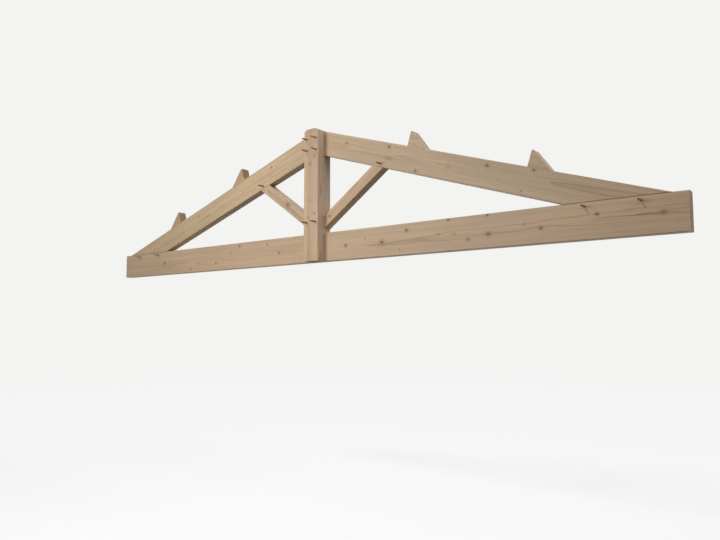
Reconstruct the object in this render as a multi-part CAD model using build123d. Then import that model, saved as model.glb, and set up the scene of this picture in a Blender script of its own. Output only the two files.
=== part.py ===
from build123d import *
from math import cos, radians, sin, tan
import os

# King-post roof truss in sawn softwood, joined with mortises, tenons and wooden pegs.
# X runs along the tie beam, -Y is the front, Z is up. The origin is the middle of the
# tie beam's underside. The left half mirrors the right half about the YZ plane.

# Timber sections
plank = 80              # thickness of the tie beam, rafters, struts and cleats
tie_depth = 240
rafter_depth = 200
strut_depth = 90
king_width = 160
king_proud = 80         # how far the king post stands in front of the planks
arris = 3               # planed corner along each timber

# Layout
tie_length = 5800
rafter_pitch = 17.75    # degrees
toe_inset = 90          # from the tie beam's end to the rafter's toe
strut_slope = 34.5      # degrees
strut_lift = 36         # from the tie beam up to the strut's foot
ridge_seat = 90         # width of the level seat on the king post's head
head_rise = 18          # how far that seat stands above the rafters' shoulders

# Cleats, wedges on the rafters' tops with their square end up the slope
upper_cleat = 985       # along the slope, from the apex to the square end
lower_cleat = 2010
cleat_base = 175
cleat_height = 115
cleat_top = 15

# Joints
tenon_thick = 26
king_tenon = 55         # how far a rafter or strut goes into the king post
head_tenon = 70         # how far a strut goes into the rafter, along the strut
foot_tenon = 70         # how far a rafter goes down into the tie beam
top_relish = 35         # wood left over the rafter's tenon in the king post
tenon_setback = 12      # shoulder left beside the other tenons
heel_relish = 70
toe_relish = 110
tenon_play = 0.3

# Pegs
peg_radius = 8          # over its corners
peg_sides = 8
peg_tip_radius = 5
peg_taper = 24
peg_proud = 60          # how far a peg's tip stands out in front
peg_play = 0.15
king_peg_edge = 32      # from the top and bottom of the rafter's tenon
heel_peg_edge = 67      # from the two ends of the rafter's foot tenon
heel_peg_drop = 27      # below the tie beam's top

front = -plank / 2
back = plank / 2
king_front = front - king_proud
half_king = king_width / 2
toe_x = tie_length / 2 - toe_inset

pitch = radians(rafter_pitch)
strut_angle = radians(strut_slope)
rafter_drop = rafter_depth / cos(pitch)     # the rafter's depth, measured upright
strut_drop = strut_depth / cos(strut_angle)
heel_x = toe_x - rafter_drop / tan(pitch)


def rafter_top(x):
    return tie_depth + (toe_x - x) * tan(pitch)


def rafter_under(x):
    return rafter_top(x) - rafter_drop


shoulder_z = rafter_top(half_king)
seat_z = shoulder_z + head_rise
strut_foot_z = tie_depth + strut_lift       # the strut's lower edge at the king post


def on_slope(along, above):
    """A point on the right rafter, from the apex down the slope and square off its top."""
    x = along * cos(pitch) + above * sin(pitch)
    z = rafter_top(0) - along * sin(pitch) + above * cos(pitch)
    return x, z


def under_rafter(z_at_king):
    """Where a line at the strut's slope, from the king post's side, meets the rafter."""
    x = half_king + (rafter_under(half_king) - z_at_king) / (tan(pitch) + tan(strut_angle))
    return x, rafter_under(x)


def slab(outline, y_front, y_back, play=0.0):
    """A flat solid with this front view, between two depths, made larger by the play."""
    face = Polygon(*outline, align=None)
    if play:
        face = offset(face, play, kind=Kind.INTERSECTION)
    placed = Plane.XZ.offset(-y_back - play) * face
    return extrude(placed, amount=y_back - y_front + 2 * play, dir=(0, -1, 0))


def planed(body, direction):
    """Takes the sharp corner off the edges that run along the timber."""
    return chamfer(body.edges().filter_by(Axis((0, 0, 0), direction)), arris)


def tenon(outline, play=0.0):
    return slab(outline, -tenon_thick / 2, tenon_thick / 2, play)


def mirrored(body):
    return mirror(body, about=Plane.YZ)


# Outlines of the tenons on the right half, each also the outline of its mortise

def box_outline(x0, z0, x1, z1):
    return (x0, z0), (x1, z0), (x1, z1), (x0, z1)


rafter_head_tenon = box_outline(half_king - king_tenon, rafter_under(half_king) + tenon_setback,
                                half_king, shoulder_z - top_relish)
rafter_foot_tenon = box_outline(heel_x + heel_relish, tie_depth - foot_tenon,
                                toe_x - toe_relish, tie_depth)
strut_foot_tenon = box_outline(half_king - king_tenon, strut_foot_z + tenon_setback,
                               half_king, strut_foot_z + strut_drop - tenon_setback)


def strut_head_outline():
    low_x, low_z = under_rafter(strut_foot_z + tenon_setback / cos(strut_angle))
    high_x, high_z = under_rafter(strut_foot_z + strut_drop - tenon_setback / cos(strut_angle))
    dx, dz = head_tenon * cos(strut_angle), head_tenon * sin(strut_angle)
    return (low_x, low_z), (low_x + dx, low_z + dz), (high_x + dx, high_z + dz), (high_x, high_z)


strut_head_tenon = strut_head_outline()


def middle(outline):
    return sum(x for x, z in outline) / len(outline), sum(z for x, z in outline) / len(outline)


# Pegs: name, place in the front view, and the face that the tip stands out from

king_peg_x = half_king - king_tenon / 2
foot_peg_z = tie_depth - heel_peg_drop
tenon_low = rafter_head_tenon[0][1]
tenon_high = rafter_head_tenon[2][1]
right_pegs = {
    "peg_king_right_lower": (king_peg_x, tenon_low + king_peg_edge, king_front),
    "peg_king_right_upper": (king_peg_x, tenon_high - king_peg_edge, king_front),
    "peg_strut_foot_right": (*middle(strut_foot_tenon), king_front),
    "peg_strut_head_right": (*middle(strut_head_tenon), front),
    "peg_heel_right_inner": (rafter_foot_tenon[0][0] + heel_peg_edge, foot_peg_z, front),
    "peg_heel_right_outer": (rafter_foot_tenon[1][0] - heel_peg_edge, foot_peg_z, front),
}


def peg(x, z, face_y):
    """A peg shaved to flats, from the back face through to its tapered tip."""
    tip_y = face_y - peg_proud
    facets = RegularPolygon(peg_radius, peg_sides)
    tip = RegularPolygon(peg_tip_radius, peg_sides)
    shank = extrude(Plane.XZ.offset(-back) * facets, back - tip_y - peg_taper, dir=(0, -1, 0))
    taper = loft([Plane.XZ.offset(-tip_y - peg_taper) * facets, Plane.XZ.offset(-tip_y) * tip])
    return Pos(x, 0, z) * (shank + taper)


def bored(body, pegs):
    """Bores the body for each of these pegs, with the peg's play round it."""
    for x, z, face_y in pegs:
        bore = Cylinder(peg_radius + peg_play, 4 * (plank + king_proud), rotation=(90, 0, 0))
        body -= Pos(x, 0, z) * bore
    return body


def both_sides(pegs):
    return pegs + [(-x, z, face_y) for x, z, face_y in pegs]


def pegs_named(*starts):
    return [place for name, place in right_pegs.items() if name.startswith(starts)]


# Timbers

def tie_beam():
    outline = box_outline(-tie_length / 2, 0, tie_length / 2, tie_depth)
    body = planed(slab(outline, front, back), (1, 0, 0))
    mortise = tenon(rafter_foot_tenon, tenon_play)
    body -= mortise + mirrored(mortise)
    return bored(body, both_sides(pegs_named("peg_heel")))


def rafter():
    outline = [(half_king, shoulder_z), (half_king, rafter_under(half_king)),
               (heel_x, tie_depth), (toe_x, tie_depth)]
    body = planed(slab(outline, front, back), (cos(pitch), 0, -sin(pitch)))
    body += tenon(rafter_head_tenon) + tenon(rafter_foot_tenon)
    body -= tenon(strut_head_tenon, tenon_play)
    return bored(body, pegs_named("peg_king", "peg_heel", "peg_strut_head"))


def king_post():
    """The post, with its sloped head and the notch behind its foot that laps the tie beam."""
    outline = [(-half_king, 0), (half_king, 0), (half_king, shoulder_z), (ridge_seat / 2, seat_z),
               (-ridge_seat / 2, seat_z), (-half_king, shoulder_z)]
    body = planed(slab(outline, king_front, back), (0, 0, 1))
    body -= slab(box_outline(-king_width, -tie_depth, king_width, tie_depth), front, 2 * back)
    mortises = tenon(rafter_head_tenon, tenon_play) + tenon(strut_foot_tenon, tenon_play)
    body -= mortises + mirrored(mortises)
    return bored(body, both_sides(pegs_named("peg_king", "peg_strut_foot")))


def strut():
    foot_top = strut_foot_z + strut_drop
    outline = [(half_king, strut_foot_z), under_rafter(strut_foot_z),
               under_rafter(foot_top), (half_king, foot_top)]
    body = planed(slab(outline, front, back), (cos(strut_angle), 0, sin(strut_angle)))
    body += tenon(strut_foot_tenon) + tenon(strut_head_tenon)
    return bored(body, pegs_named("peg_strut"))


def cleat(start):
    """A wedge on the right rafter whose square end stands this far down the slope."""
    outline = [on_slope(start, 0), on_slope(start + cleat_base, 0),
               on_slope(start + cleat_top, cleat_height), on_slope(start, cleat_height)]
    return slab(outline, front, back)


pieces = {"tie_beam": tie_beam(), "king_post": king_post()}
right_half = {
    "rafter_right": rafter(),
    "strut_right": strut(),
    "cleat_right_upper": cleat(upper_cleat),
    "cleat_right_lower": cleat(lower_cleat),
}
for name, place in right_pegs.items():
    right_half[name] = peg(*place)
for name, body in right_half.items():
    pieces[name] = body
    pieces[name.replace("right", "left")] = mirrored(body)

os.makedirs("parts", exist_ok=True)
for name, body in pieces.items():
    export_step(body, f"parts/{name}.step")
    print(f"{name}: {body.volume / 1e6:.2f} litres")
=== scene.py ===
# %% [markdown]
# # A king-post roof truss in planed softwood
# The truss is a flat frame of square-edged timbers. A tie beam runs across the bottom, a king post
# stands in its middle, two rafters lean on the king post's head, and two short struts prop them.
# Wedge-shaped cleats sit on the rafters, and wooden pegs lock the mortise and tenon joints.
# The solids of all of these come from the imported CAD model, at their real size, and stay fixed.
# This script gives them their finish, and puts a cracked tie beam and shaved pegs in the place of
# the plain ones. The first cell loads them, with a function that measures a piece's box.

# %% Load the truss
import bmesh
import bpy
import math
import random
from mathutils import Matrix, Vector


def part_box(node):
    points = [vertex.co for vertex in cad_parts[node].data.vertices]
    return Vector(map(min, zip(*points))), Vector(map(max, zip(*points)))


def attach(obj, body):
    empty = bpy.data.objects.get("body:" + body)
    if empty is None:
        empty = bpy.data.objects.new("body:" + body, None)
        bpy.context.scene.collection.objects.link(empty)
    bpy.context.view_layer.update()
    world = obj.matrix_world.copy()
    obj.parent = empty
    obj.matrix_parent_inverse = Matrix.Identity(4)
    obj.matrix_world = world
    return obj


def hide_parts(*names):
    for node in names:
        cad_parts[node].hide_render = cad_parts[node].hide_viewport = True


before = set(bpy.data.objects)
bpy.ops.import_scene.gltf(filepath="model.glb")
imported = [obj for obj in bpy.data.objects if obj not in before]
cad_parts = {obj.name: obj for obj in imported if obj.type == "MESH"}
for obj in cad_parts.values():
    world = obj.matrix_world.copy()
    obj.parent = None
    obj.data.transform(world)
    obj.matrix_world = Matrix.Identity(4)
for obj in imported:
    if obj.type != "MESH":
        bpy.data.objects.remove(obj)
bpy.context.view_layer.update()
mm = 0.001

# %% [markdown]
# ## Putting things in the scene
# Everything new in the scene is an object that holds a lamp, a camera or a mesh. Meshes are built
# with bmesh and are all finished in the same way, so both steps are functions.

# %% Put a thing in the scene
def put_in_scene(name, content):
    """A new object that holds this lamp, camera or mesh."""
    holder = bpy.data.objects.new(name, content)
    bpy.context.scene.collection.objects.link(holder)
    return holder


def made_from(bm, name):
    """A new object with the shape that was built in this bmesh."""
    mesh = bpy.data.meshes.new(name)
    bm.to_mesh(mesh)
    bm.free()
    return put_in_scene(name, mesh)


# %% [markdown]
# ## The camera
# The truss is seen from its right and from a little below. The place and lens were fitted to the
# truss's own straight edges. The camera looks up only slightly, so upright timbers stay nearly
# upright in the picture.

# %% Set up the camera
eye = Vector((3.773, -4.130, -0.539))
turned_left = math.radians(38.918)
tilted_up = math.radians(4.833)
focal_length = 32.94
film_width = 36
king_post_middle = Vector((0, -0.12, 0.6))

camera = put_in_scene("camera", bpy.data.cameras.new("camera"))
camera.location = eye
camera.rotation_euler = (math.radians(90) + tilted_up, 0, turned_left)
camera.data.lens = focal_length
camera.data.sensor_width = film_width
bpy.context.scene.camera = camera
print("camera to the king post:", round((eye - king_post_middle).length, 2), "m")

# %% [markdown]
# ## Colours and nodes
# Colours are written as they look on a screen, in sRGB hex, and Blender's nodes want them
# linear. A finish is a net of nodes, so one function adds a node, gives it its settings and
# fills or links its inputs. An input can be given a number, a colour, a socket or a whole node,
# whose first output is then used. Another function opens an empty finish. A group is a net that
# several finishes share, and a third function opens an empty group with named ports.

# %% Turn a colour to linear
def linear(hex_colour):
    """An sRGB colour such as "#a07850" as linear red, green, blue and alpha."""
    shares = [int(hex_colour[i:i + 2], 16) / 255 for i in (1, 3, 5)]
    return [s / 12.92 if s < 0.04045 else ((s + 0.055) / 1.055) ** 2.4 for s in shares] + [1]


print("white is", linear("#ffffff"))


# %% Add a node
def add(tree, kind, inputs=(), stops=(), **settings):
    """Adds a node with its settings, its colour stops, and its inputs filled or linked."""
    node = tree.nodes.new(kind)
    for name, value in settings.items():
        setattr(node, name, value)
    for place, colour in stops:
        ends = node.color_ramp.elements
        stop = ends[len(ends) - 1] if place == 1 else ends[0] if place == 0 else ends.new(place)
        stop.color = linear(colour)
    for name, value in dict(inputs).items():
        usable = [s for s in node.inputs if s.enabled]
        named = [s for s in usable if s.name == name]
        socket = usable[name] if isinstance(name, int) else named[0]
        if isinstance(value, bpy.types.Node):
            value = next(s for s in value.outputs if s.enabled)
        if isinstance(value, bpy.types.NodeSocket):
            tree.links.new(value, socket)
        else:
            socket.default_value = value
    return node


# %% Open an empty finish or group
def open_finish(name):
    """A new material without nodes, and the tree for them."""
    finish = bpy.data.materials.new(name)
    finish.use_nodes = True
    finish.node_tree.nodes.clear()
    return finish, finish.node_tree


def open_group(name, takes, gives):
    """A new node group with these ports, and the sockets that bring its inputs in."""
    tree = bpy.data.node_groups.new(name, "ShaderNodeTree")
    for side, ports in (("INPUT", takes), ("OUTPUT", gives)):
        for port, kind in ports.items():
            tree.interface.new_socket(port, in_out=side, socket_type="NodeSocket" + kind)
    return tree, add(tree, "NodeGroupInput").outputs


# %% [markdown]
# ## The floor
# The truss hangs at its real height over a plain pale floor, one big disc that takes its soft
# shadow. The Light Path node tells what the camera sees from the light that surfaces get. With
# it the floor looks pale and even, and yet it throws little light up at the wood, so the
# undersides stay dark. Far out it turns see-through and the world's pale colour takes over, so
# there is no hard horizon.

# %% Lay the floor
floor_height = -2.14
floor_radius = 40
floor_corners = 96


def laid_floor():
    bm = bmesh.new()
    bmesh.ops.create_circle(bm, cap_ends=True, segments=floor_corners, radius=floor_radius)
    bmesh.ops.translate(bm, vec=(0, 0, floor_height), verts=bm.verts)
    return made_from(bm, "studio_floor")


floor = laid_floor()
print("floor at", floor_height, "m")


# %% Tell what is seen from what gives light
def is_seen(tree):
    """1 where a ray comes from the camera or from a mirror or glass, and 0 for light rays."""
    path = add(tree, "ShaderNodeLightPath")
    mirror = add(tree, "ShaderNodeMath", {0: path.outputs["Is Camera Ray"],
                                          1: path.outputs["Is Glossy Ray"]}, operation="MAXIMUM")
    return add(tree, "ShaderNodeMath", {0: mirror, 1: path.outputs["Is Transmission Ray"]},
               operation="MAXIMUM")


# %% Paint the floor
backdrop_pale = "#f3f3f1"
floor_pale = "#eeedea"
floor_bounce = "#544f4a"
floor_glow = 0.5
glow_strength = 1.1
floor_solid_to = 7
floor_gone_by = 24


def pale_matt(tree, seen):
    """Matt paint, dull to the light that bounces off it, with a soft glow where it is seen."""
    colour = add(tree, "ShaderNodeMix", {0: seen, "A": linear(floor_bounce),
                                         "B": linear(floor_pale)}, data_type="RGBA")
    matt = add(tree, "ShaderNodeBsdfDiffuse", {"Color": colour})
    glow = add(tree, "ShaderNodeEmission", {"Color": linear(backdrop_pale),
                                            "Strength": glow_strength})
    share = add(tree, "ShaderNodeMath", {0: seen, 1: floor_glow}, operation="MULTIPLY")
    return add(tree, "ShaderNodeMixShader", {0: share, 1: matt, 2: glow})


def far_out(tree):
    """0 near the truss and 1 where the floor should have faded away."""
    place = add(tree, "ShaderNodeTexCoord").outputs["Object"]
    flat = add(tree, "ShaderNodeVectorMath", {0: place, 1: (1, 1, 0)}, operation="MULTIPLY")
    reach = add(tree, "ShaderNodeVectorMath", {0: flat}, operation="LENGTH")
    return add(tree, "ShaderNodeMapRange", {"Value": reach.outputs["Value"],
                                            "From Min": floor_solid_to,
                                            "From Max": floor_gone_by},
               interpolation_type="SMOOTHSTEP")


def floor_paint():
    paint, tree = open_finish("studio_floor_paint")
    seen = is_seen(tree)
    fade = add(tree, "ShaderNodeMath", {0: far_out(tree), 1: seen}, operation="MULTIPLY")
    clear = add(tree, "ShaderNodeBsdfTransparent")
    both = add(tree, "ShaderNodeMixShader", {0: fade, 1: pale_matt(tree, seen), 2: clear})
    add(tree, "ShaderNodeOutputMaterial", {"Surface": both})
    return paint


floor.data.materials.append(floor_paint())
print("the floor fades from", floor_solid_to, "to", floor_gone_by, "m")

# %% [markdown]
# ## The world
# The world works in the same way: a pale colour where it is seen, and a weak white light on the
# wood from all sides. The view transform is Standard, so that a colour comes out as written.

# %% Light the world
ambient = 0.22

world = bpy.data.worlds.new("studio")
world.use_nodes = True
air = world.node_tree
air.nodes.clear()
light_cast = add(air, "ShaderNodeBackground", {"Color": linear("#ffffff"), "Strength": ambient})
light_seen = add(air, "ShaderNodeBackground", {"Color": linear(backdrop_pale), "Strength": 1})
either = add(air, "ShaderNodeMixShader", {0: is_seen(air), 1: light_cast, 2: light_seen})
add(air, "ShaderNodeOutputWorld", {"Surface": either})
bpy.context.scene.world = world
bpy.context.scene.view_settings.view_transform = "Standard"
print("world light", ambient)

# %% [markdown]
# ## The lamps
# The front faces are lit, brightest near the king post, and the right-hand sides and undersides
# fall into shade. A far lamp lights the whole length evenly, and its disc is wide enough for soft
# shadows. A big panel stands in front of the king post, and its light fades towards both ends.
# Two more far lamps, from the right and from behind, keep those sides readable. The one behind
# has a very wide disc, or its mirror image would bleach the struts' tops, seen at a low angle.

# %% Hang the far lamps
def far_lamp(name, comes_from, disc, strength, colour="#ffffff"):
    """An even light from this direction, with a disc that many degrees wide."""
    lamp = bpy.data.lights.new(name, "SUN")
    lamp.color = linear(colour)[:3]
    lamp.angle = math.radians(disc)
    lamp.energy = strength
    holder = put_in_scene(name, lamp)
    holder.rotation_euler = Vector(comes_from).to_track_quat("Z", "Y").to_euler()
    print(name, "has strength", strength)


far_lamp("main_lamp", (-0.45, -1.0, 0.9), 9, 0.70)
far_lamp("right_lamp", (1.0, -0.05, 0.9), 45, 1.75, "#eaf1ff")
far_lamp("back_lamp", (-0.5, 1.0, 0.7), 100, 1.7)

# %% Stand the panel in front
truss_middle = Vector((0, 0, 0.5))
panel_place = Vector((-1.0, -3.7, 1.1))
panel_width = 2.4
panel_height = 1.6
panel_watts = 42
panel_spread = math.radians(130)

panel = put_in_scene("front_panel", bpy.data.lights.new("front_panel", "AREA"))
panel.data.shape = "RECTANGLE"
panel.data.size = panel_width
panel.data.size_y = panel_height
panel.data.energy = panel_watts
panel.data.spread = panel_spread
panel.location = panel_place
panel.rotation_euler = (truss_middle - panel_place).to_track_quat("-Z", "Y").to_euler()
panel.visible_camera = False
print("front_panel is", round((truss_middle - panel_place).length, 1), "m away")

# %% [markdown]
# ## Planed softwood as solid wood
# Each timber is spruce, sawn from the log and planed. What the eye reads as grain is
# one solid thing: yearly rings round the log's pith, cut open by the faces. A flat picture of
# grain would break at every corner. So the pattern is worked out in space: a point's distance
# from the pith gives its ring, and the same rings run over the front, the narrow edges and the
# end grain, where they show as arcs. The pith is set a little askew to the timber, and this
# draws long flames down the face, as in real boards.
# Real rings are 2 to 4 mm apart. They are drawn at 5 mm here, or they would vanish at this range.

# %% Sizes and colours of the wood
ring_width = 5 * mm
pale_wood = "#ceb698"
ring_brown = "#a4845e"
heart_tint = "#ba9370"
resin_brown = "#7d5a3c"
knot_core = "#946b44"
knot_between = "#865f3a"
knot_ring = "#6e4e2f"
knot_bark = "#5c4226"
end_grain_tint = "#c6c0ba"
drying_dark = "#3a281c"
# The corners' pale colour is partly handling wear and partly a painted highlight.
worn_and_highlight_pale = "#d9c8ae"


def blotch(long, wide):
    """What a place is multiplied by, to give noise blotches of this size in millimetres."""
    return 1 / (long * mm), 1 / (wide * mm), 1 / (wide * mm)


print("one ring is drawn", ring_width / mm, "mm wide")

# %% [markdown]
# ## Knots
# A knot is a branch that the saw cut across. It is a round brown plug, and the rings part round
# it like water round a stone. It goes through the timber from front to back, a little aslant
# along it, so its cut is longer than it is high. Its bark makes the edge ragged.
# A knot that lies just under the face is covered by later years and only tints it.
# One node group holds a knot: it tells how far a point is from the nearest knot, in knot radii,
# and pushes the grain aside. A finish chains one group for each of its knots. Each of them
# starts from the grain that the one before has pushed, so Blender works through them one by
# one. With all of them measured from the same place, a long chain runs out of shader memory.

# %% Measure the distance from a knot
branch_lean = 0.25
knot_rough = 0.55
bark_bump = 14 * mm


def radii_away(tree, given, away):
    """How many knot radii this point is from the middle of the leaning branch."""
    part = add(tree, "ShaderNodeSeparateXYZ", {0: away})
    along = add(tree, "ShaderNodeMath", {0: part.outputs["Y"], 1: -branch_lean,
                                         2: part.outputs["X"]}, operation="MULTIPLY_ADD")
    short = add(tree, "ShaderNodeMath", {0: along, 1: given["Stretch"]}, operation="DIVIDE")
    flat = add(tree, "ShaderNodeCombineXYZ", {"X": short, "Z": part.outputs["Z"]})
    reach = add(tree, "ShaderNodeVectorMath", {0: flat}, operation="LENGTH")
    return add(tree, "ShaderNodeMath", {0: reach.outputs["Value"], 1: given["Radius"]},
               operation="DIVIDE")


def ragged_edge(tree, given, radii):
    """The distance with the bark's bumps, but an earlier knot's where that one is nearer."""
    ragged = add(tree, "ShaderNodeMath", {0: given["Bark"], 1: knot_rough, 2: radii},
                 operation="MULTIPLY_ADD")
    edge = add(tree, "ShaderNodeMath", {0: ragged, 1: knot_rough / 2}, operation="SUBTRACT")
    covered = add(tree, "ShaderNodeMath", {0: edge, 1: given["Cover"]}, operation="MAXIMUM")
    return add(tree, "ShaderNodeMath", {0: covered, 1: given["Nearest"]}, operation="MINIMUM")


# %% Push the grain aside
push_reach = 2.0
push_share = 0.9


def grain_pushed(tree, given, away, radii):
    """The place in the grain, moved away from the knot, less and less with distance."""
    wide = add(tree, "ShaderNodeMath", {0: radii, 1: 1 / push_reach}, operation="MULTIPLY")
    square = add(tree, "ShaderNodeMath", {0: wide, 1: wide}, operation="MULTIPLY")
    fall = add(tree, "ShaderNodeMath", {0: square, 1: -1}, operation="MULTIPLY")
    pull = add(tree, "ShaderNodeMath", {0: fall}, operation="EXPONENT")
    shift = add(tree, "ShaderNodeVectorMath", {0: away, 1: (0, 0, -push_share)},
                operation="MULTIPLY")
    eased = add(tree, "ShaderNodeVectorMath", {0: shift, "Scale": pull}, operation="SCALE")
    return add(tree, "ShaderNodeVectorMath", {0: given["Grain"], 1: eased}, operation="ADD")


# %% Make the knot group
def knot_group():
    tree, given = open_group("grain_round_a_knot",
                             {"Grain": "Vector", "Nearest": "Float", "Bark": "Float",
                              "Centre": "Vector", "Radius": "Float", "Stretch": "Float",
                              "Cover": "Float"},
                             {"Grain": "Vector", "Nearest": "Float"})
    away = add(tree, "ShaderNodeVectorMath", {0: given["Grain"], 1: given["Centre"]},
               operation="SUBTRACT")
    radii = radii_away(tree, given, away)
    add(tree, "NodeGroupOutput", {"Grain": grain_pushed(tree, given, away, radii),
                                  "Nearest": ragged_edge(tree, given, radii)})
    return tree


grain_round_a_knot = knot_group()
print("knot group has", len(grain_round_a_knot.nodes), "nodes")

# %% [markdown]
# ## The yearly rings
# A tree doesn't grow as a perfect cone, so the fibres wander slowly along the log. Noise with
# blotches over a metre long does that. A Mapping node then brings the pith onto the X axis,
# a little askew, and the distance from that axis tells the year.

# %% Let the fibres wander
ring_wander = 36 * mm
wander_blotch = blotch(1110, 200)


def grain_noise(tree, given, size, detail):
    """Noise in blotches of this size, which follow the grain."""
    place = add(tree, "ShaderNodeVectorMath", {0: given["Grain"], 1: size}, operation="MULTIPLY")
    return add(tree, "ShaderNodeTexNoise", {"Vector": place, "Scale": 1.0, "Detail": detail})


def place_in_log(tree, given):
    """The place of this point in its log, whose pith is the X axis."""
    wander = grain_noise(tree, given, wander_blotch, 2)
    centred = add(tree, "ShaderNodeVectorMath", {0: wander.outputs["Color"], 1: (0.5, 0.5, 0.5)},
                  operation="SUBTRACT")
    strayed = add(tree, "ShaderNodeVectorMath", {0: centred, "Scale": ring_wander},
                  operation="SCALE")
    grown = add(tree, "ShaderNodeVectorMath", {0: given["Grain"], 1: strayed}, operation="ADD")
    return add(tree, "ShaderNodeMapping", {"Vector": grown, "Location": given["Pith"],
                                           "Rotation": given["Skew"]})


# %% [markdown]
# ## One year's line
# Each ring starts pale and soft in spring and ends in a thin hard brown line in late summer. Then
# the next one starts at once, so the line is soft on one side and sharp on the other. A colour
# ramp over the ring's width draws this. No two years are alike, so White Noise gives each ring
# its own strength.

# %% Draw the late wood
seasons = ((0, "#404040"), (0.12, "#000000"), (0.45, "#141414"), (0.9, "#ffffff"), (1, "#404040"))
faintest_year = 0.2
strongest_year = 0.8


def year_line(tree, from_pith):
    years = add(tree, "ShaderNodeMath", {0: from_pith, 1: 1 / ring_width}, operation="MULTIPLY")
    season = add(tree, "ShaderNodeMath", {0: years}, operation="FRACT")
    late = add(tree, "ShaderNodeValToRGB", {"Fac": season}, stops=seasons)
    year = add(tree, "ShaderNodeMath", {0: years}, operation="FLOOR")
    luck = add(tree, "ShaderNodeTexWhiteNoise", {"W": year}, noise_dimensions="1D")
    weight = add(tree, "ShaderNodeMapRange", {"Value": luck.outputs["Value"],
                                              "To Min": faintest_year,
                                              "To Max": strongest_year})
    return add(tree, "ShaderNodeMath", {0: late.outputs["Color"], 1: weight},
               operation="MULTIPLY")


# %% [markdown]
# ## Drying rays
# At the ends of a timber, drying pulls fine cracks open that run outwards from the pith. The
# angle round the pith picks a spoke, and noise jolts it from side to side. Each spoke opens at
# its own distance from the pith and tapers to nothing both ways. A point is in the crack where
# its distance beside the spoke is less than the crack's half width there.

# %% Open the rays
rays_round_pith = 18
ray_half_width = 0.9 * mm
ray_reach = 38 * mm
ray_nearest = 15 * mm
ray_furthest = 130 * mm
ray_wobble = 0.5
wobble_size = 22 * mm


def beside_a_ray(tree, given, log):
    """The nearest spoke, and how far beside it a point is, as a share of the spokes' spacing."""
    sides = add(tree, "ShaderNodeSeparateXYZ", {0: log})
    angle = add(tree, "ShaderNodeMath", {0: sides.outputs["Y"], 1: sides.outputs["Z"]},
                operation="ARCTAN2")
    jolts = add(tree, "ShaderNodeTexNoise", {"Vector": given["Grain"], "Scale": 1 / wobble_size,
                                             "Detail": 2})
    spokes = add(tree, "ShaderNodeMath", {0: angle, 1: rays_round_pith / math.tau},
                 operation="MULTIPLY")
    turned = add(tree, "ShaderNodeMath", {0: jolts, 1: ray_wobble, 2: spokes},
                 operation="MULTIPLY_ADD")
    ray = add(tree, "ShaderNodeMath", {0: turned}, operation="ROUND")
    return ray, add(tree, "ShaderNodeMath", {0: turned, 1: ray}, operation="SUBTRACT")


def drying_ray(tree, given, log, from_pith):
    """1 inside a drying crack and 0 beside it."""
    ray, beside = beside_a_ray(tree, given, log)
    width = add(tree, "ShaderNodeMath", {0: beside, 1: from_pith}, operation="MULTIPLY")
    gap = add(tree, "ShaderNodeMath", {0: width}, operation="ABSOLUTE")
    luck = add(tree, "ShaderNodeTexWhiteNoise", {"W": ray}, noise_dimensions="1D")
    centre = add(tree, "ShaderNodeMapRange", {"Value": luck.outputs["Value"],
                                              "To Min": ray_nearest, "To Max": ray_furthest})
    out = add(tree, "ShaderNodeMath", {0: from_pith, 1: centre}, operation="SUBTRACT")
    off_centre = add(tree, "ShaderNodeMath", {0: out}, operation="ABSOLUTE")
    opening = add(tree, "ShaderNodeMapRange", {"Value": off_centre, "From Max": ray_reach,
                                               "To Min": 1, "To Max": 0})
    half = add(tree, "ShaderNodeMath", {0: opening,
                                        1: ray_half_width * rays_round_pith / math.tau},
               operation="MULTIPLY")
    return add(tree, "ShaderNodeMath", {0: gap, 1: half}, operation="LESS_THAN")


# %% Make the ring group
def ring_group():
    tree, given = open_group("yearly_rings",
                             {"Grain": "Vector", "Pith": "Vector", "Skew": "Vector"},
                             {"Line": "Float", "From pith": "Float", "Ray": "Float"})
    log = place_in_log(tree, given)
    across = add(tree, "ShaderNodeVectorMath", {0: log, 1: (0, 1, 1)}, operation="MULTIPLY")
    from_pith = add(tree, "ShaderNodeVectorMath", {0: across}, operation="LENGTH").outputs["Value"]
    add(tree, "NodeGroupOutput", {"Line": year_line(tree, from_pith), "From pith": from_pith,
                                  "Ray": drying_ray(tree, given, log, from_pith)})
    return tree


yearly_rings = ring_group()
print("ring group has", len(yearly_rings.nodes), "nodes")

# %% [markdown]
# ## The clear wood
# The colour is built in the order that the wood grew. The heart of the log is redder than the
# sapwood. Over it come the ring lines, then broad patches, streaks and fine fibres, all much
# longer than wide. Real fibres are finer than a tenth of a millimetre, so bundles are drawn.
# Last come short brown dashes, where the saw opened a resin canal lengthwise. Each layer is given
# by the size of its blotches, how dark and how light it gets, and how much fine detail it has.

# %% Colour the clear wood
heart_full = 30 * mm
heart_gone = 130 * mm
heart_share = 0.6
noise_low = 0.3
noise_high = 0.7
patches = (blotch(1430, 285), 0.90, 1.07, 2)
streaks = (blotch(1250, 36), 0.88, 1.09, 4)
fibres = (blotch(165, 4.5), 0.94, 1.04, 3)
canal_blotch = blotch(70, 2.4)
canal_edge = 0.70
canal_full = 0.76
canal_share = 0.5


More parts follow.
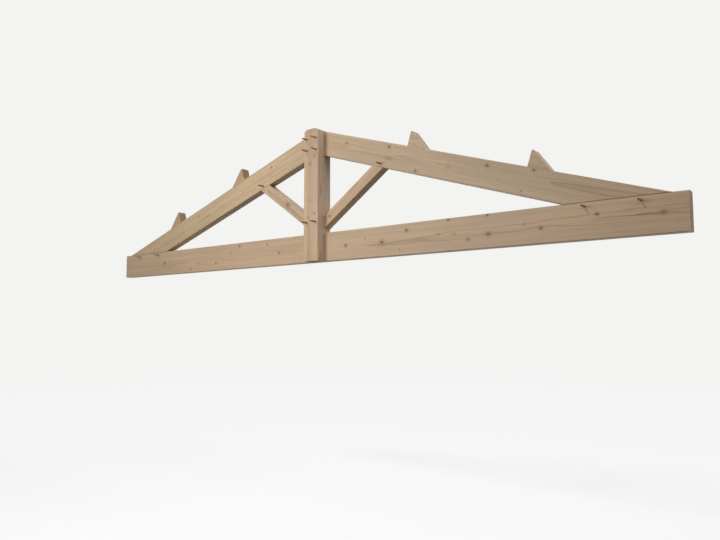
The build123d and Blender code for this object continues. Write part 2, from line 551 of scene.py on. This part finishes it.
def clear_wood(tree, given):
    """The colour of the wood between its knots, and the fibres for the relief."""
    heart = add(tree, "ShaderNodeMapRange", {"Value": given["From pith"], "From Min": heart_full,
                                             "From Max": heart_gone, "To Min": heart_share,
                                             "To Max": 0})
    hearty = add(tree, "ShaderNodeMix", {0: heart, "A": linear(pale_wood),
                                         "B": linear(heart_tint)}, data_type="RGBA")
    ringed = add(tree, "ShaderNodeMix", {0: given["Line"], "A": hearty, "B": linear(ring_brown)},
                 data_type="RGBA")
    light = 1.0
    for size, low, high, detail in (patches, streaks, fibres):
        noise = grain_noise(tree, given, size, detail)
        level = add(tree, "ShaderNodeMapRange", {"Value": noise, "From Min": noise_low,
                                                 "From Max": noise_high, "To Min": low,
                                                 "To Max": high})
        light = add(tree, "ShaderNodeMath", {0: level, 1: light}, operation="MULTIPLY")
    shaded = add(tree, "ShaderNodeVectorMath", {0: ringed, "Scale": light}, operation="SCALE")
    return shaded, noise


def resin_dashes(tree, given, colour):
    canals = grain_noise(tree, given, canal_blotch, 1)
    canal = add(tree, "ShaderNodeMapRange", {"Value": canals, "From Min": canal_edge,
                                             "From Max": canal_full, "To Max": canal_share})
    return add(tree, "ShaderNodeMix", {0: canal, "A": colour, "B": linear(resin_brown)},
               data_type="RGBA")


# %% [markdown]
# ## The colour of a knot
# Branch wood is denser and redder, with tight rings of its own, and the bark round it is darkest.
# The wood just outside has taken up resin, so a soft brown halo goes out to three knot radii.

# %% Colour the knots
halo_share = 0.5
halo_reach = 3.2
knot_within = 0.75
knot_beyond = 1.25
branch_years = ((0, knot_ring), (0.18, knot_core), (0.4, knot_between), (0.5, knot_core),
                (0.78, knot_ring), (1, knot_bark))


def knots_coloured(tree, given, colour):
    halo = add(tree, "ShaderNodeMapRange", {"Value": given["Nearest"], "From Min": 1,
                                            "From Max": halo_reach, "To Min": halo_share,
                                            "To Max": 0},
               interpolation_type="SMOOTHSTEP")
    haloed = add(tree, "ShaderNodeMix", {0: halo, "A": colour, "B": linear(ring_brown)},
                 data_type="RGBA")
    inside = add(tree, "ShaderNodeMapRange", {"Value": given["Nearest"],
                                              "From Min": knot_within,
                                              "From Max": knot_beyond, "To Min": 1, "To Max": 0},
                 interpolation_type="SMOOTHSTEP")
    branch_rings = add(tree, "ShaderNodeValToRGB", {"Fac": given["Nearest"]}, stops=branch_years)
    return add(tree, "ShaderNodeMix", {0: inside, "A": haloed, "B": branch_rings},
               data_type="RGBA")


# %% [markdown]
# ## End grain, and corners worn and highlit
# The end grain is fibres cut across, which drink light, so it is darker and greyer, with the
# drying rays in it. The long corners are paler, partly from handling wear and partly as a painted
# highlight. They are found in space: a point is on a corner where it is close to two faces of
# its timber at once.

# %% Colour the ends
ray_squareness = 4.0


def ends_coloured(tree, given, colour):
    """Tints the end grain, and draws rays where it is cut square. Also gives where they are."""
    cut = add(tree, "ShaderNodeMix", {0: given["End"], "A": colour, "B": linear(end_grain_tint)},
              data_type="RGBA", blend_type="MULTIPLY")
    square = add(tree, "ShaderNodeMath", {0: given["End"], 1: ray_squareness}, operation="POWER")
    split = add(tree, "ShaderNodeMath", {0: given["Ray"], 1: square}, operation="MULTIPLY")
    dried = add(tree, "ShaderNodeMix", {0: split, "A": cut, "B": linear(drying_dark)},
                data_type="RGBA")
    return dried, split


# %% Pale the corners: wear and a painted highlight
scuff_size = 25 * mm
scuff_depth = 12 * mm
corner_pale_full = 5 * mm
corner_pale_gone = 10 * mm
wear_and_highlight_share = 0.55


def corners_worn_and_highlit(tree, given, colour):
    """Pales the long corners unevenly: wear and a painted highlight. Also gives how much."""
    out = add(tree, "ShaderNodeVectorMath", {0: given["Place"]}, operation="ABSOLUTE")
    inward = add(tree, "ShaderNodeVectorMath", {0: given["Half"], 1: out}, operation="SUBTRACT")
    from_face = add(tree, "ShaderNodeSeparateXYZ", {0: inward})
    corner = add(tree, "ShaderNodeMath", {0: from_face.outputs["Y"], 1: from_face.outputs["Z"]},
                 operation="MAXIMUM")
    scuffs = add(tree, "ShaderNodeTexNoise", {"Vector": given["Place"], "Scale": 1 / scuff_size,
                                              "Detail": 3})
    scuffed = add(tree, "ShaderNodeMath", {0: scuffs, 1: scuff_depth, 2: corner},
                  operation="MULTIPLY_ADD")
    wear_and_highlight_amount = add(tree, "ShaderNodeMapRange", {"Value": scuffed, "From Min": corner_pale_full,
                                            "From Max": corner_pale_gone, "To Min": wear_and_highlight_share,
                                            "To Max": 0})
    # Painted highlight: part of this paleness stands in for light catching the arrises.
    return add(tree, "ShaderNodeMix", {0: wear_and_highlight_amount, "A": colour, "B": linear(worn_and_highlight_pale)},
               data_type="RGBA"), wear_and_highlight_amount


# %% [markdown]
# ## The planed surface
# This group puts the colour together from the steps above. Roughness and a very low relief
# follow the same pattern, so the grain also shows in the gloss: a planed face has a dull sheen,
# end grain and bruised corners have none, late wood stands up a little, and the rays sink.

# %% Make the surface group
planed_rough = 0.56
end_rough = 0.85
bruise_rough = 0.2
late_wood_up = 0.5
ray_down = -2.0


def surface_group():
    tree, given = open_group("planed_surface",
                             {"Place": "Vector", "Grain": "Vector", "Line": "Float",
                              "From pith": "Float", "Ray": "Float", "Nearest": "Float",
                              "End": "Float", "Half": "Vector"},
                             {"Colour": "Color", "Roughness": "Float", "Height": "Float"})
    clear, fibre = clear_wood(tree, given)
    knotty = knots_coloured(tree, given, resin_dashes(tree, given, clear))
    dried, split = ends_coloured(tree, given, knotty)
    worn_and_highlit, wear_and_highlight_amount = corners_worn_and_highlit(tree, given, dried)
    rough = add(tree, "ShaderNodeMapRange", {"Value": given["End"], "To Min": planed_rough,
                                             "To Max": end_rough})
    rougher = add(tree, "ShaderNodeMath", {0: wear_and_highlight_amount, 1: bruise_rough, 2: rough},
                  operation="MULTIPLY_ADD")
    ridge = add(tree, "ShaderNodeMath", {0: given["Line"], 1: late_wood_up, 2: fibre},
                operation="MULTIPLY_ADD")
    sunk = add(tree, "ShaderNodeMath", {0: split, 1: ray_down, 2: ridge},
               operation="MULTIPLY_ADD")
    add(tree, "NodeGroupOutput", {"Colour": worn_and_highlit, "Roughness": rougher, "Height": sunk})
    return tree


planed_surface = surface_group()
print("surface group has", len(planed_surface.nodes), "nodes")

# %% [markdown]
# ## Dirt and painted shade in the heel joints
# Each rafter's foot lands on the tie beam along a line, and that hairline takes up dirt and lies
# in shade. It is drawn dark brown on both timbers, partly as dirt and partly as painted shade,
# where a point is close to the beam's top and under a rafter's foot.

# %% Darken the heel joints with dirt and painted shade
# The joint's dark brown is partly dirt and partly painted shade.
joint_dirt_and_shade_brown = "#694635"
joint_drop = 1 * mm
joint_full = 1.5 * mm
joint_gone = 4 * mm
joint_dirt_and_shade_share = 0.75
tie_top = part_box("tie_beam")[1].z
rafter_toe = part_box("rafter_right")[1].x
rafter_pitch = math.radians(17.75)
rafter_depth = 200 * mm
rafter_heel = rafter_toe - rafter_depth / math.sin(rafter_pitch)


def heel_joint_line(tree, objects, colour):
    part = add(tree, "ShaderNodeSeparateXYZ", {0: objects.outputs["Object"]})
    outwards = add(tree, "ShaderNodeMath", {0: part.outputs["X"]}, operation="ABSOLUTE")
    under = add(tree, "ShaderNodeMath", {0: outwards, 1: (rafter_toe + rafter_heel) / 2,
                                         2: (rafter_toe - rafter_heel) / 2},
                operation="COMPARE")
    off_line = add(tree, "ShaderNodeMath", {0: part.outputs["Z"], 1: tie_top - joint_drop},
                   operation="SUBTRACT")
    height = add(tree, "ShaderNodeMath", {0: off_line}, operation="ABSOLUTE")
    near = add(tree, "ShaderNodeMapRange", {"Value": height, "From Min": joint_full,
                                            "From Max": joint_gone, "To Min": joint_dirt_and_shade_share,
                                            "To Max": 0})
    dirt_and_shade = add(tree, "ShaderNodeMath", {0: near, 1: under}, operation="MULTIPLY")
    # Painted shade: this dark brown line is partly dirt and partly the shade in the joint.
    return add(tree, "ShaderNodeMix", {0: dirt_and_shade, "A": colour, "B": linear(joint_dirt_and_shade_brown)},
               data_type="RGBA")


print("the heel joint runs from", round(rafter_heel, 3), "to", round(rafter_toe, 3), "m")

# %% [markdown]
# ## The finish of one timber
# Every timber gets its own finish from those groups, because each was cut from another log: the
# pith lies elsewhere, the knots differ, and the grain runs along that timber. A Mapping node
# turns the truss's own axes so that X runs along the timber, Y through its thickness and Z
# across its face. Knots are given as they are found on the front of the truss: how far right of
# the middle, how high above the tie beam's underside, and their radius, all in millimetres. A
# fourth number tells how many times longer than high a knot is, where the saw cut it lengthwise.
# A fifth covers it: at 0 the knot is fully cut open, and past 1 only its tint shows.

# %% Chain the knots of a timber
tie_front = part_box("tie_beam")[0].y
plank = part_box("tie_beam")[1].y - tie_front
far_away = 99.0
usual_stretch = 1.3
cut_open = 0.0


def knots_chained(tree, place, knots, face, turn, start):
    """The place in the grain and the distance from the nearest knot, past all the knots."""
    bark = add(tree, "ShaderNodeTexNoise", {"Vector": place, "Scale": 1 / bark_bump, "Detail": 2})
    grain = place
    nearest = far_away
    for x, z, radius, *unusual in knots:
        stretch, cover = unusual or (usual_stretch, cut_open)
        centre = turn @ Vector((x * mm, face, z * mm)) - start
        knot = add(tree, "ShaderNodeGroup", {"Grain": grain, "Nearest": nearest, "Bark": bark,
                                             "Centre": centre, "Radius": radius * mm,
                                             "Stretch": stretch, "Cover": cover},
                   node_tree=grain_round_a_knot)
        grain = knot.outputs["Grain"]
        nearest = knot.outputs["Nearest"]
    return grain, nearest


print("planks are", round(plank / mm), "mm thick")


# %% Find the end grain
cut_askew = 0.35
cut_square = 0.9


def square_to(tree, objects, direction, none_at, all_at):
    """0 on the long faces of a piece that runs in this direction, and 1 on its cut ends."""
    facing = add(tree, "ShaderNodeVectorMath", {0: objects.outputs["Normal"], 1: direction},
                 operation="DOT_PRODUCT")
    square_on = add(tree, "ShaderNodeMath", {0: facing.outputs["Value"]}, operation="ABSOLUTE")
    return add(tree, "ShaderNodeMapRange", {"Value": square_on, "From Min": none_at,
                                            "From Max": all_at})


# %% Give a finish to the timbers
def give_finish(start, wood):
    """Puts this wood on every CAD piece whose name starts like this."""
    for name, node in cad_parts.items():
        if name.startswith(start):
            node.data.materials.clear()
            node.data.materials.append(wood)


# %% Make the softwood
relief = 0.4 * mm
relief_strength = 0.5
wood_ior = 1.5


def planed_softwood(name, slope, middle, section, knots, pith, skew, tone, face=tie_front):
    """Softwood whose grain runs down this slope, put on the timbers with this name.

    middle is a point on the timber's axis, and section its depth and thickness. pith is how
    far the pith lies behind and across from the axis, in mm, and skew how far it turns.
    """
    wood, tree = open_finish("planed_softwood_" + name)
    turn = Matrix.Rotation(-slope, 3, "Y")
    start = turn @ Vector(middle)
    objects = add(tree, "ShaderNodeTexCoord")
    place = add(tree, "ShaderNodeMapping", {"Vector": objects.outputs["Object"],
                                            "Location": -start, "Rotation": (0, -slope, 0)})
    grain, nearest = knots_chained(tree, place, knots, face, turn, start)
    rings = add(tree, "ShaderNodeGroup", {"Grain": grain,
                                          "Pith": (0, -pith[0] * mm, -pith[1] * mm),
                                          "Skew": (0, skew[1], skew[0])},
                node_tree=yearly_rings)
    end = square_to(tree, objects, turn.inverted() @ Vector((1, 0, 0)), cut_askew, cut_square)
    surface = add(tree, "ShaderNodeGroup",
                  {"Place": place, "Grain": grain, "Line": rings.outputs["Line"],
                   "From pith": rings.outputs["From pith"], "Ray": rings.outputs["Ray"],
                   "Nearest": nearest, "End": end,
                   "Half": (far_away, section[1] / 2, section[0] / 2)}, node_tree=planed_surface)
    toned = add(tree, "ShaderNodeMix", {0: 1.0, "A": surface.outputs["Colour"],
                                        "B": linear(tone)},
                data_type="RGBA", blend_type="MULTIPLY")
    bump = add(tree, "ShaderNodeBump", {"Height": surface.outputs["Height"],
                                        "Strength": relief_strength, "Distance": relief})
    shader = add(tree, "ShaderNodeBsdfPrincipled",
                 {"Base Color": heel_joint_line(tree, objects, toned),
                  "Roughness": surface.outputs["Roughness"], "Normal": bump, "IOR": wood_ior})
    add(tree, "ShaderNodeOutputMaterial", {"Surface": shader})
    give_finish(name, wood)
    print(name, "has", len(knots), "knots")
    return wood


# %% [markdown]
# ## Each timber and its knots
# The places of the timbers come from the CAD solids. The knots lie where the real truss has
# them, to the nearest 5 mm, down to pin knots. The tie beam and the rafters show most of them.
# The cleats have crisp edges. Their section is given as far too large, so that no point of them
# counts as a corner.

# %% Finish the tie beam
tie_knots = [(690, 110, 12), (925, 185, 9), (1295, 230, 8), (1610, 230, 7), (1615, 95, 11),
             (1455, 70, 7), (2000, 100, 9), (2370, 155, 8), (2760, 125, 9, 1.3, 1.02),
             (320, 115, 9), (-455, 110, 7.5), (-2180, 115, 10), (-1335, 70, 8),
             (-1735, 30, 7), (-990, 210, 8), (-610, 195, 6), (-1115, 150, 4),
             (-145, 30, 3), (-255, 220, 2.5), (525, 155, 3.5), (860, 45, 3.5),
             (1885, 135, 5, 1.3, 1.25), (1210, 130, 5, 2, 1.4), (1345, 120, 5, 2, 1.35)]
tie_wood = planed_softwood("tie", 0, (0, 0, tie_top / 2), (tie_top, plank), tie_knots,
                           pith=(62, -25), skew=(0.004, 0.012), tone="#fbf5f0")

# %% Finish the king post
king_low, king_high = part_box("king_post")
king_width = king_high.x - king_low.x
king_middle = (0, (king_low.y + king_high.y) / 2, 0.5)
king_knots = [(40, 895, 11, 1.2, 1.12), (-10, 830, 11, 1.2, 1.1), (-10, 515, 7, 1.2, 1.12),
              (40, 400, 6), (-30, 370, 5)]
planed_softwood("king", math.radians(90), king_middle, (king_width, king_width), king_knots,
                pith=(-45, -12), skew=(0.004, 0.006), tone="#ffffff", face=king_low.y)

# %% Finish the rafters
right_rafter_knots = [(330, 965, 7), (765, 860, 9.5), (1010, 630, 8), (1615, 580, 9),
                      (1865, 365, 4), (1960, 495, 8), (755, 770, 7, 3, 1.1),
                      (1300, 615, 7, 1.3, 1.25)]
left_rafter_knots = [(-570, 900, 6), (-1605, 555, 5), (-1465, 550, 6, 2, 1.15)]
axis_to_top = Vector((math.sin(rafter_pitch), 0, math.cos(rafter_pitch))) * rafter_depth / 2
right_rafter_middle = Vector((rafter_toe, 0, tie_top)) - axis_to_top
mirrored = Vector((-1, 1, 1))
left_rafter_middle = right_rafter_middle * mirrored
planed_softwood("rafter_right", rafter_pitch, right_rafter_middle, (rafter_depth, plank),
                right_rafter_knots, pith=(55, 35), skew=(0.006, 0.011), tone="#f9f5ef")
planed_softwood("rafter_left", -rafter_pitch, left_rafter_middle, (rafter_depth, plank),
                left_rafter_knots, pith=(70, -30), skew=(-0.005, 0.013), tone="#f9f5ec")

# %% Finish the struts
strut_slope = math.radians(34.5)
strut_depth = 90 * mm
strut_lift = 36 * mm
half_strut_upright = strut_depth / math.cos(strut_slope) / 2
strut_foot = Vector((king_width / 2, 0, tie_top + strut_lift + half_strut_upright))
right_strut_knots = [(145, 375, 7)]
left_strut_knots = [(-350, 530, 15, 1.3, 1)]
planed_softwood("strut_right", -strut_slope, strut_foot, (strut_depth, plank),
                right_strut_knots, pith=(48, 22), skew=(0.004, 0.012), tone="#fbf4ea")
planed_softwood("strut_left", strut_slope, strut_foot * mirrored, (strut_depth, plank),
                left_strut_knots, pith=(58, -20), skew=(0.004, -0.012), tone="#fffdfa")

# %% Finish the cleats
no_corners = (far_away, far_away)
no_knots = []
planed_softwood("cleat_right", rafter_pitch, right_rafter_middle, no_corners, no_knots,
                pith=(60, 150), skew=(0.02, 0.015), tone="#fbf5ee")
planed_softwood("cleat_left", -rafter_pitch, left_rafter_middle, no_corners, no_knots,
                pith=(-60, 130), skew=(-0.02, 0.015), tone="#fbf5ee")

# %% [markdown]
# ## A drying crack
# A big timber dries faster outside than inside, and the outside then splits along the grain. The
# tie beam has one long crack near its right end, which runs through a knot. Relief in the
# finish would leave it flat, so it is cut: a thin blade, made from a cube that is cut into many
# lengths and pinched to a wedge, is taken out of a copy of the beam with the Boolean modifier.
# The blade strays a little up and down, as a split follows the fibres, and fades to nothing at
# both ends. The CAD beam's mesh is loose triangles, so the copy's corners are merged first, and
# level triangles are joined, or the cut would leave slivers along the crack.

# %% Forge the blade
crack_start = Vector((2340 * mm, 0, 128 * mm))
crack_end = Vector((2868 * mm, 0, 122 * mm))
crack_width = 2.6 * mm
crack_depth = 22 * mm
crack_bluntness = 0.8
crack_stray = 1.6 * mm
crack_waves = ((9, 0, 1.0), (23, 1, 0.5), (57, 0, 0.3))
crack_lengths = 44
in_front = 1 * mm
same_place = 0.001 * mm


def crack_stray_at(share):
    """How far the crack strays up or down at this share of its length."""
    waves = sum(height * math.sin(pace * share + lag) for pace, lag, height in crack_waves)
    return waves * crack_stray


def crack_blade():
    bm = bmesh.new()
    bmesh.ops.create_cube(bm, size=1)
    lengthwise = [e for e in bm.edges if abs(e.verts[0].co.x - e.verts[1].co.x) > 0.5]
    bmesh.ops.subdivide_edges(bm, edges=lengthwise, cuts=crack_lengths, use_grid_fill=True)
    for corner in bm.verts:
        share = corner.co.x + 0.5
        opening = math.sin(math.pi * share) ** crack_bluntness
        inside = corner.co.y > 0
        side = 0 if inside else math.copysign(crack_width / 2, corner.co.z) * opening
        place = crack_start.lerp(crack_end, share)
        place.y = tie_front + (crack_depth * opening if inside else -in_front)
        place.z += side + crack_stray_at(share)
        corner.co = place
    bmesh.ops.remove_doubles(bm, verts=bm.verts, dist=same_place)
    bmesh.ops.recalc_face_normals(bm, faces=bm.faces)
    return made_from(bm, "crack_blade")


# %% Copy the beam
same_plane = math.radians(0.5)


def whole_beam():
    """A copy of the beam with its triangles joined to whole faces wherever they are level."""
    bm = bmesh.new()
    bm.from_mesh(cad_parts["tie_beam"].data)
    bmesh.ops.remove_doubles(bm, verts=bm.verts, dist=same_place)
    bmesh.ops.dissolve_limit(bm, angle_limit=same_plane, verts=bm.verts, edges=bm.edges)
    beam = made_from(bm, "tie_beam_cracked")
    beam.data.materials.append(tie_wood)
    return beam


beam = whole_beam()
print("the beam has", len(beam.data.polygons), "faces before the crack")

# %% Cut the crack
blade = crack_blade()
cut = beam.modifiers.new("crack", "BOOLEAN")
cut.operation = "DIFFERENCE"
cut.solver = "EXACT"
cut.object = blade
bpy.context.view_layer.update()
cracked = beam.evaluated_get(bpy.context.evaluated_depsgraph_get())
cut_mesh = bpy.data.meshes.new_from_object(cracked)
beam.modifiers.clear()
beam.data = cut_mesh
bpy.data.objects.remove(blade)
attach(beam, "root")
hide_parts("tie_beam")
print("and", len(beam.data.polygons), "faces with it")

# %% [markdown]
# ## The pegs
# A peg is riven from oak and shaved to eight flats with a drawknife, so it isn't a turned
# cylinder: its flats differ a little, and it tapers by hand to a blunt tip, which stands out in
# front of the joint. The CAD model has each peg as an even eight-sided rod, and each is replaced
# here by one that looks shaved. It starts as an eight-sided disc at the back of the joint.
# Extruding its cap, moving and shrinking it makes each length of the peg. An extruded cap stays
# behind as a wall inside, so all but the first, which closes the back, are deleted. Each new
# ring's corners move inwards by up to half a millimetre, and a small bevel blunts the tip.

# %% Measure a peg
peg_flats = 8
knife_slip = 0.5 * mm
length_slip = 5 * mm
taper_length = 24 * mm
taper_middle = 0.4
shoulder_share = 0.97
middle_share = 0.84
tip_share = 0.62
tip_bevel = 0.8 * mm
chance = random.Random(7)


def peg_rings(node_name, length):
    """How far along the peg each ring of corners lies, and its share of the full width."""
    in_plank = "strut_head" in node_name or "heel" in node_name
    joint_depth = plank if in_plank else king_width
    whole = length - chance.uniform(0, length_slip)
    return [(0, 1.0), (joint_depth, 1.0), (whole - taper_length, shoulder_share),
            (whole - taper_length * taper_middle, middle_share), (whole, tip_share)]


# %% Shave a peg
def shaved_shape(bm, rings, radius):
    """Draws an eight-sided disc out into a peg, ring by ring. The result runs up from Z 0."""
    bmesh.ops.create_circle(bm, cap_ends=True, segments=peg_flats, radius=radius)
    back = cap = next(iter(bm.faces))
    for (before, width_before), (after, width_after) in zip(rings, rings[1:]):
        grown = bmesh.ops.extrude_face_region(bm, geom=[cap])["geom"]
        if cap != back:
            bmesh.ops.delete(bm, geom=[cap], context="FACES_ONLY")
        corners = [v for v in grown if isinstance(v, bmesh.types.BMVert)]
        cap = next(f for f in grown if isinstance(f, bmesh.types.BMFace))
        bmesh.ops.translate(bm, vec=(0, 0, after - before), verts=corners)
        share = width_after / width_before
        bmesh.ops.scale(bm, vec=(share, share, 1), verts=corners)
        for corner in corners:
            inwards = Vector((-corner.co.x, -corner.co.y, 0)).normalized()
            corner.co += inwards * chance.uniform(0, knife_slip)
    bmesh.ops.bevel(bm, geom=list(cap.edges), affect="EDGES", offset=tip_bevel, segments=2,
                    profile=0.5, material=-1)


def shaved_peg(node_name):
    low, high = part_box(node_name)
    bm = bmesh.new()
    shaved_shape(bm, peg_rings(node_name, high.y - low.y), (high.x - low.x) / 2)
    turned = Matrix.Rotation(chance.uniform(0, math.tau), 4, "Z")
    laid = Matrix.Rotation(math.radians(90), 4, "X")
    placed = Matrix.Translation(((low.x + high.x) / 2, high.y, (low.z + high.z) / 2))
    bmesh.ops.transform(bm, matrix=placed @ laid @ turned, verts=bm.verts)
    bmesh.ops.recalc_face_normals(bm, faces=bm.faces)
    return made_from(bm, "shaved_" + node_name)


# %% [markdown]
# ## Shaved oak
# Oak is browner than the softwood and has coarse pores, which a knife cut leaves as short dark
# dashes along the peg. Between them the knife leaves a faint silky shine. The grain runs along
# the peg, which is the truss's Y axis, so the patterns are stretched that way. Real pores are a
# fifth of a millimetre wide and are drawn about three times as wide, so that they show.

# %% Colour the oak
oak_pale = "#b68f68"
oak_dark = "#8c6748"
pore_dark = "#3d2918"
oak_tip_tint = "#8a8078"
oak_stops = ((0, oak_dark), (0.35, oak_dark), (0.65, oak_pale), (1, oak_pale))
band_long = 83 * mm
band_wide = 3.3 * mm
pore_long = 11 * mm
pore_wide = 0.67 * mm
pore_edge = 0.58
pore_full = 0.66
pore_share = 0.8


def noise_along_peg(tree, objects, wide, long, detail):
    place = add(tree, "ShaderNodeMapping", {"Vector": objects.outputs["Object"],
                                            "Scale": (1 / wide, 1 / long, 1 / wide)})
    return add(tree, "ShaderNodeTexNoise", {"Vector": place, "Scale": 1.0, "Detail": detail})


def oak_bands(tree, objects):
    bands = noise_along_peg(tree, objects, band_wide, band_long, 3)
    return add(tree, "ShaderNodeValToRGB", {"Fac": bands}, stops=oak_stops)


def oak_pores(tree, objects):
    pores = noise_along_peg(tree, objects, pore_wide, pore_long, 1)
    return add(tree, "ShaderNodeMapRange", {"Value": pores, "From Min": pore_edge,
                                            "From Max": pore_full, "To Max": pore_share})


# %% Make the oak
pore_depth = 0.2 * mm
pore_strength = 0.6
tip_askew = 0.6
tip_square = 0.95
shaved_rough = 0.5
tip_rough = 0.8


def shaved_oak():
    oak, tree = open_finish("shaved_oak")
    objects = add(tree, "ShaderNodeTexCoord")
    pore = oak_pores(tree, objects)
    porous = add(tree, "ShaderNodeMix", {0: pore, "A": oak_bands(tree, objects),
                                         "B": linear(pore_dark)}, data_type="RGBA")
    end = square_to(tree, objects, (0, 1, 0), tip_askew, tip_square)
    finish = add(tree, "ShaderNodeMix", {0: end, "A": porous, "B": linear(oak_tip_tint)},
                 data_type="RGBA", blend_type="MULTIPLY")
    rough = add(tree, "ShaderNodeMapRange", {"Value": end, "To Min": shaved_rough,
                                             "To Max": tip_rough})
    dents = add(tree, "ShaderNodeMath", {0: pore, 1: -1.0}, operation="MULTIPLY")
    bump = add(tree, "ShaderNodeBump", {"Height": dents, "Strength": pore_strength,
                                        "Distance": pore_depth})
    shader = add(tree, "ShaderNodeBsdfPrincipled", {"Base Color": finish, "Roughness": rough,
                                                    "Normal": bump, "IOR": wood_ior})
    add(tree, "ShaderNodeOutputMaterial", {"Surface": shader})
    return oak


# %% Drive the pegs
oak = shaved_oak()
for name in sorted(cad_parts):
    if name.startswith("peg"):
        peg = shaved_peg(name)
        peg.data.materials.append(oak)
        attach(peg, "root")
        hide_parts(name)
        print(peg.name, "has", len(peg.data.polygons), "faces")

# %% [markdown]
# ## The end
# The truss, its finish and its shaved and cracked pieces are now all in the scene. The
# visual model has to stay within the CAD model's box.


print("the truss is in the scene")
